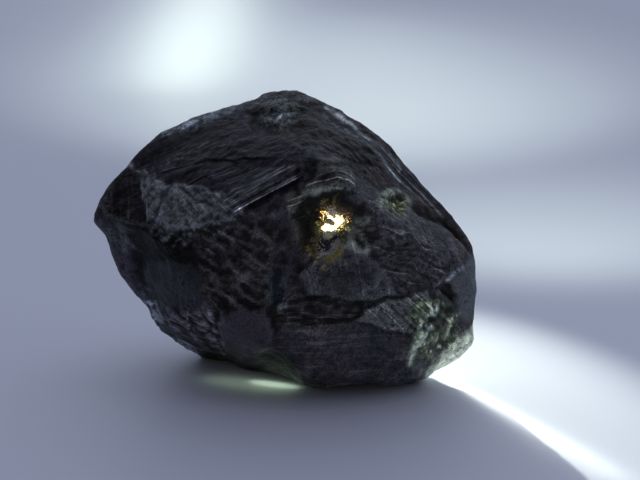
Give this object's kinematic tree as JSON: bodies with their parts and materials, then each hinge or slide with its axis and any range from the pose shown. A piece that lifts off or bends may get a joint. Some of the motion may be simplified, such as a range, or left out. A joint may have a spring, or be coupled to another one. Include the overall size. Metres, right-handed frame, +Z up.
{
  "type": "rough diamond",
  "caption": "Large dark rough diamond: a natural faceted crystal with striated, frosted and broken faces, resting on its own flat foot.",
  "frame": {"origin": "bottom centre of the stone's box, on the surface it stands on", "axes": "+X to the right along the stone's length, -Y out of the broad front face, +Z up"},
  "size_m": [0.0796, 0.0484, 0.0574],
  "materials": {
    "dark_diamond": "natural crystal skin: glassy slate-black facets, frosted and hackly in patches, clear at the thin edges"
  },
  "bodies": {
    "root": {"rough_diamond": "dark_diamond"}
  },
  "joints": []
}
